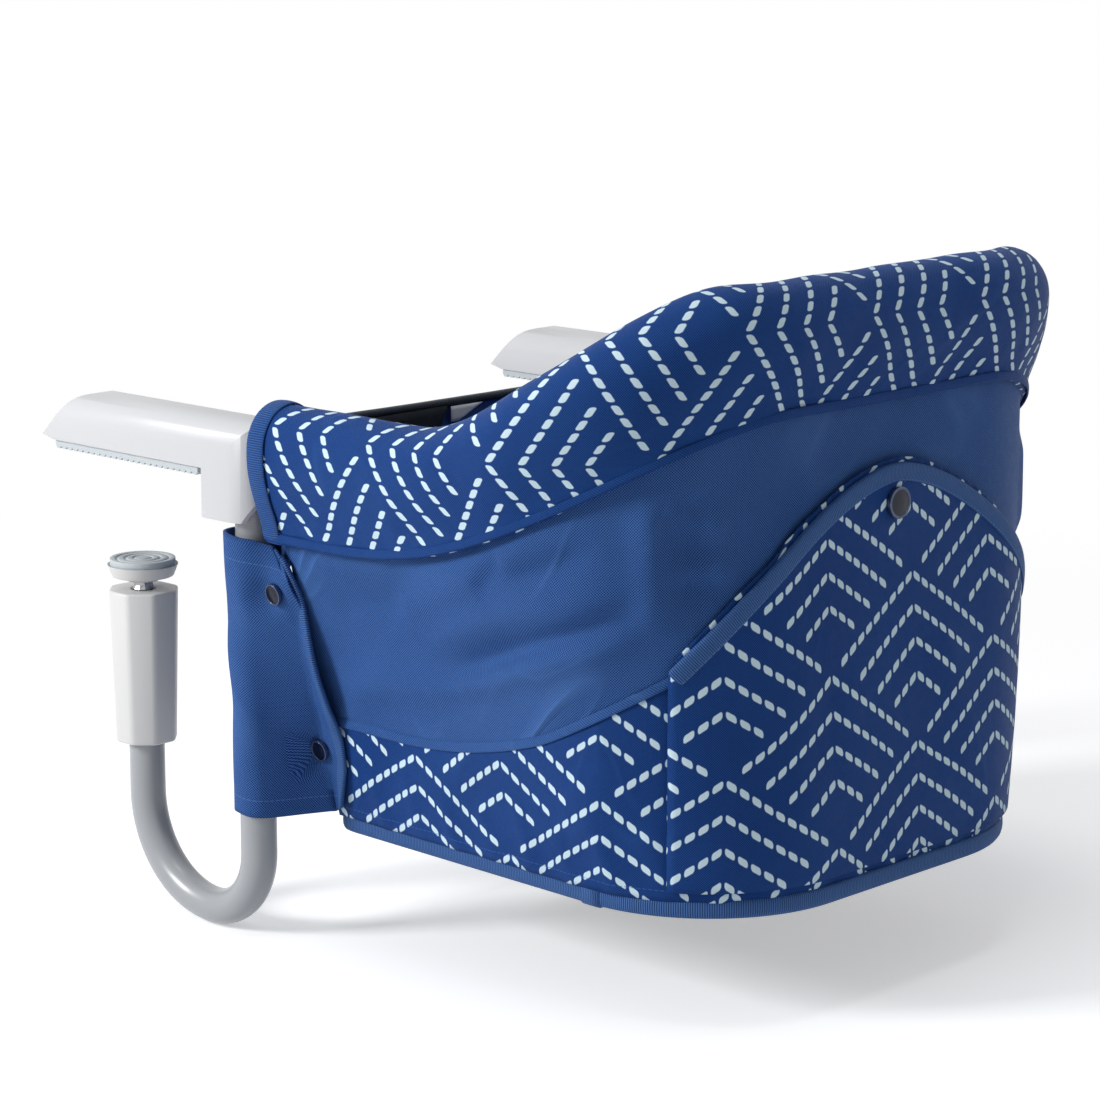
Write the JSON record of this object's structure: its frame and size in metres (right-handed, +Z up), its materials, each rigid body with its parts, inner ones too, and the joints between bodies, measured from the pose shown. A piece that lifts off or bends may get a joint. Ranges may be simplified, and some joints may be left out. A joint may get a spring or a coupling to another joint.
{
  "type": "clip-on table chair",
  "caption": "Clip-on chair for a small child: a fabric seat on a tube hoop, with two swinging arms that rest on the table top and screw clamps that grip it from below",
  "frame": {"origin": "On the table edge, at the middle of the seat, at the height of the table top", "axes": "+Z up, +Y away from the table towards the chair's back, +X to the seated child's left"},
  "size_m": [0.3784, 0.4439, 0.3625],
  "materials": {
    "white_plastic": "moulded white plastic, satin to gloss",
    "off_white_plastic": "moulded off-white plastic",
    "sleeve_plastic": "moulded light grey-white plastic with long facets",
    "plain_steel": "plain steel",
    "painted_steel": "satin light grey enamel",
    "grey_rubber": "soft light grey rubber",
    "nylon": "natural nylon",
    "printed_fabric": "deep blue woven cloth printed with a pale geometric dash pattern",
    "plain_fabric": "mid-blue coarse plain weave",
    "binding_fabric": "deep blue ribbed tape",
    "cushion_fabric": "mid-blue quilted cloth",
    "dark_stud": "dark navy press stud",
    "gunmetal": "dark gunmetal press stud",
    "webbing": "dark woven webbing",
    "black_plastic": "black moulded plastic",
    "board": "stiff grey board"
  },
  "bodies": {
    "seat_frame": {"hoop_tube": "painted_steel", "rim_pad": "printed_fabric", "upper_panel": "plain_fabric", "lower_band": "printed_fabric", "back_pocket": "printed_fabric", "pocket_stud": "gunmetal", "front_band": "plain_fabric", "crotch_panel": "plain_fabric", "base_board": "board", "base_binding": "binding_fabric", "seat_cushion": "cushion_fabric", "crotch_strap": "webbing", "buckle_socket": "black_plastic", "buckle_tongue": "black_plastic", "left_hub": "off_white_plastic", "left_swivel_bush": "nylon", "left_hub_pin": "plain_steel", "left_leg_sleeve": "plain_fabric", "left_upper_stud": "dark_stud", "left_lower_stud": "dark_stud", "left_waist_strap": "webbing", "right_hub": "off_white_plastic", "right_swivel_bush": "nylon", "right_hub_pin": "plain_steel", "right_leg_sleeve": "plain_fabric", "right_upper_stud": "dark_stud", "right_lower_stud": "dark_stud", "right_waist_strap": "webbing"},
    "left_prong": {"buckle_left_prong": "black_plastic"},
    "right_prong": {"buckle_right_prong": "black_plastic"},
    "left_clamp": {"left_arm_shell": "white_plastic", "left_arm_plate": "off_white_plastic", "left_arm_screw_front": "plain_steel", "left_arm_screw_rear": "plain_steel", "left_grip_strip": "grey_rubber", "left_leg_socket": "off_white_plastic", "left_leg_tube": "painted_steel", "left_sleeve_clip": "plain_steel", "left_spindle_guide": "nylon"},
    "left_grip_sleeve": {"left_clamp_sleeve": "sleeve_plastic"},
    "left_foot": {"left_spindle": "plain_steel", "left_foot_dish": "off_white_plastic", "left_foot_pad": "grey_rubber"},
    "right_clamp": {"right_arm_shell": "white_plastic", "right_arm_plate": "off_white_plastic", "right_arm_screw_front": "plain_steel", "right_arm_screw_rear": "plain_steel", "right_grip_strip": "grey_rubber", "right_leg_socket": "off_white_plastic", "right_leg_tube": "painted_steel", "right_sleeve_clip": "plain_steel", "right_spindle_guide": "nylon"},
    "right_grip_sleeve": {"right_clamp_sleeve": "sleeve_plastic"},
    "right_foot": {"right_spindle": "plain_steel", "right_foot_dish": "off_white_plastic", "right_foot_pad": "grey_rubber"}
  },
  "joints": [
    {"name": "left_swivel", "type": "hinge", "parent": "seat_frame", "child": "left_clamp", "pos_m": [0.17, 0.0195, 0], "axis": [0, 0, 1], "range_deg": [-90, 0]},
    {"name": "left_sleeve_turn", "type": "hinge", "parent": "left_clamp", "child": "left_grip_sleeve", "pos_m": [0.17, -0.0705, 0], "axis": [0, 0, 1], "range_deg": [-1920, 240]},
    {"name": "left_spindle_rise", "type": "slide", "parent": "left_clamp", "child": "left_foot", "axis": [0, 0, 1], "range_m": [-0.004, 0.032]},
    {"name": "right_swivel", "type": "hinge", "parent": "seat_frame", "child": "right_clamp", "pos_m": [-0.17, 0.0195, 0], "axis": [0, 0, 1], "range_deg": [0, 90]},
    {"name": "right_sleeve_turn", "type": "hinge", "parent": "right_clamp", "child": "right_grip_sleeve", "pos_m": [-0.17, -0.0705, 0], "axis": [0, 0, 1], "range_deg": [-1920, 240]},
    {"name": "right_spindle_rise", "type": "slide", "parent": "right_clamp", "child": "right_foot", "axis": [0, 0, 1], "range_m": [-0.004, 0.032]},
    {"name": "left_prong_press", "type": "slide", "parent": "seat_frame", "child": "left_prong", "axis": [-1, 0, 0], "range_m": [0, 0.0022], "stiffness_N_per_m": 300, "springref_m": -0.001},
    {"name": "right_prong_press", "type": "slide", "parent": "seat_frame", "child": "right_prong", "axis": [1, 0, 0], "range_m": [0, 0.0022], "stiffness_N_per_m": 300, "springref_m": -0.001}
  ],
  "couplings": [
    {"joint": "left_sleeve_turn", "follows": "left_spindle_rise", "rad_per_m": -1047.2},
    {"joint": "right_sleeve_turn", "follows": "right_spindle_rise", "rad_per_m": -1047.2},
    {"joint": "right_prong_press", "follows": "left_prong_press", "ratio": 1}
  ]
}
